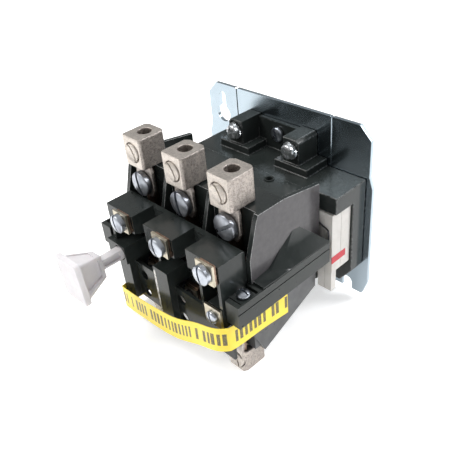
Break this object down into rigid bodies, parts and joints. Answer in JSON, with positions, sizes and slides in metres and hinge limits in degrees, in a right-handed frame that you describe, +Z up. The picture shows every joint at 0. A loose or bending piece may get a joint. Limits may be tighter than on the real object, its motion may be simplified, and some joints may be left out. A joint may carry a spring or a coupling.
{
  "type": "magnetic motor starter",
  "caption": "Open-type magnetic motor starter on a zinc plate, with line and load lugs, overload relay, push reset and auxiliary contact block.",
  "frame": {"origin": "centre of the mounting plate's flat back face", "axes": "+X right, +Y back into the panel, +Z up, seen from the front"},
  "size_m": [0.113, 0.122, 0.1023],
  "materials": {
    "zinc_plate": "bright zinc, slightly blue",
    "black_phenolic": "gloss",
    "grey_phenolic": "satin, dusty",
    "tinned_lug": "rough cast, tin plated",
    "zinc_screw": "bright zinc",
    "white_plastic": "satin",
    "spring_steel": "satin",
    "core_steel": "satin",
    "coil_wrap": "matte",
    "copper_strap": "satin",
    "yellow_tape": "satin"
  },
  "bodies": {
    "starter_frame": {"mounting_plate": "zinc_plate", "base_moulding": "black_phenolic", "arc_housing": "black_phenolic", "overload_housing": "black_phenolic", "lower_housing": "grey_phenolic", "line_lug_1": "tinned_lug", "line_lug_2": "tinned_lug", "line_lug_3": "tinned_lug", "load_lug_1": "tinned_lug", "load_lug_2": "tinned_lug", "load_lug_3": "tinned_lug", "line_terminal_screw_1": "zinc_screw", "line_terminal_screw_2": "zinc_screw", "line_terminal_screw_3": "zinc_screw", "load_terminal_screw_1": "zinc_screw", "load_terminal_screw_2": "zinc_screw", "load_terminal_screw_3": "zinc_screw", "heater_screw_upper_1": "zinc_screw", "heater_screw_upper_2": "zinc_screw", "heater_screw_upper_3": "zinc_screw", "heater_screw_lower_1": "zinc_screw", "heater_screw_lower_2": "zinc_screw", "heater_screw_lower_3": "zinc_screw", "control_terminal_screw": "zinc_screw", "coil_terminal_screw_left": "zinc_screw", "coil_terminal_screw_right": "zinc_screw", "plate_screw": "zinc_screw", "housing_screw_left": "zinc_screw", "housing_screw_right": "zinc_screw", "aux_contact_block": "white_plastic", "reset_spring": "spring_steel", "kickout_spring": "spring_steel", "magnet_core": "core_steel", "coil": "coil_wrap", "line_strap_1": "copper_strap", "line_strap_2": "copper_strap", "line_strap_3": "copper_strap", "load_strap_1": "copper_strap", "load_strap_2": "copper_strap", "load_strap_3": "copper_strap", "overload_strap_1": "copper_strap", "overload_strap_2": "copper_strap", "overload_strap_3": "copper_strap", "label_tape": "yellow_tape"},
    "reset_button": {"reset_plunger": "white_plastic"},
    "contact_assembly": {"contact_carrier": "black_phenolic", "armature": "core_steel", "moving_contact_1": "copper_strap", "moving_contact_2": "copper_strap", "moving_contact_3": "copper_strap"},
    "trip_bar": {"trip_slide": "white_plastic"},
    "trip_lever": {"trip_contact_lever": "copper_strap"},
    "line_clamp_1": {"line_clamp_screw_1": "zinc_screw"},
    "load_clamp_1": {"load_clamp_screw_1": "zinc_screw"},
    "line_clamp_2": {"line_clamp_screw_2": "zinc_screw"},
    "load_clamp_2": {"load_clamp_screw_2": "zinc_screw"},
    "line_clamp_3": {"line_clamp_screw_3": "zinc_screw"},
    "load_clamp_3": {"load_clamp_screw_3": "zinc_screw"}
  },
  "joints": [
    {"name": "reset_push", "type": "slide", "parent": "starter_frame", "child": "reset_button", "axis": [0, 1, 0], "range_m": [0, 0.005], "stiffness_N_per_m": 400, "springref_m": -0.005, "deforming": ["reset_spring"]},
    {"name": "carrier_slide", "type": "slide", "parent": "starter_frame", "child": "contact_assembly", "axis": [0, 1, 0], "range_m": [0, 0.006], "stiffness_N_per_m": 600, "springref_m": -0.01, "deforming": ["kickout_spring"]},
    {"name": "trip_bar_slide", "type": "slide", "parent": "starter_frame", "child": "trip_bar", "axis": [1, 0, 0], "range_m": [0, 0.0025]},
    {"name": "trip_lever_turn", "type": "hinge", "parent": "starter_frame", "child": "trip_lever", "pos_m": [0.033, -0.0605, -0.008], "axis": [0, 0, 1], "range_deg": [0, 20.5]},
    {"name": "line_clamp_1_screw_in", "type": "slide", "parent": "starter_frame", "child": "line_clamp_1", "axis": [0, 1, 0], "range_m": [0, 0.0045]},
    {"name": "load_clamp_1_screw_in", "type": "slide", "parent": "starter_frame", "child": "load_clamp_1", "axis": [0, 1, 0], "range_m": [0, 0.0045]},
    {"name": "line_clamp_2_screw_in", "type": "slide", "parent": "starter_frame", "child": "line_clamp_2", "axis": [0, 1, 0], "range_m": [0, 0.0045]},
    {"name": "load_clamp_2_screw_in", "type": "slide", "parent": "starter_frame", "child": "load_clamp_2", "axis": [0, 1, 0], "range_m": [0, 0.0045]},
    {"name": "line_clamp_3_screw_in", "type": "slide", "parent": "starter_frame", "child": "line_clamp_3", "axis": [0, 1, 0], "range_m": [0, 0.0045]},
    {"name": "load_clamp_3_screw_in", "type": "slide", "parent": "starter_frame", "child": "load_clamp_3", "axis": [0, 1, 0], "range_m": [0, 0.0045]}
  ],
  "couplings": [
    {"joint": "trip_lever_turn", "follows": "trip_bar_slide", "rad_per_m": 142.8}
  ]
}
